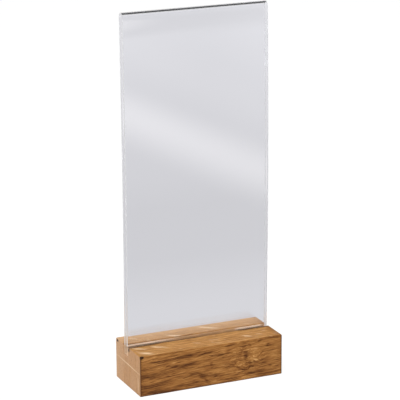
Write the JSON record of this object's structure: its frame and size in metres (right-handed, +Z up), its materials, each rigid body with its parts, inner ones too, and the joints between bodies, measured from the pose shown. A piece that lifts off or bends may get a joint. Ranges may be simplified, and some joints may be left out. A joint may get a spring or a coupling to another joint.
{
  "type": "table sign stand",
  "caption": "Table sign stand: an oak block with a slot along its top and a folded clear acrylic card pocket that lifts out of the slot.",
  "frame": {"origin": "middle of the block's underside, on the surface it stands on", "axes": "+Z up along the pocket, +X along the block's length, +Y from the read side to the back; the sign is read from -Y"},
  "size_m": [0.1, 0.041, 0.243],
  "materials": {
    "oak": "oiled, satin, sharp sanded edges",
    "clear_acrylic": "clear, polished, see-through"
  },
  "bodies": {
    "base": {"oak_base": "oak"},
    "holder": {"acrylic_holder": "clear_acrylic"}
  },
  "joints": [
    {"name": "holder_lift", "type": "slide", "parent": "base", "child": "holder", "axis": [0, 0, 1], "range_m": [0, 0.02]}
  ]
}
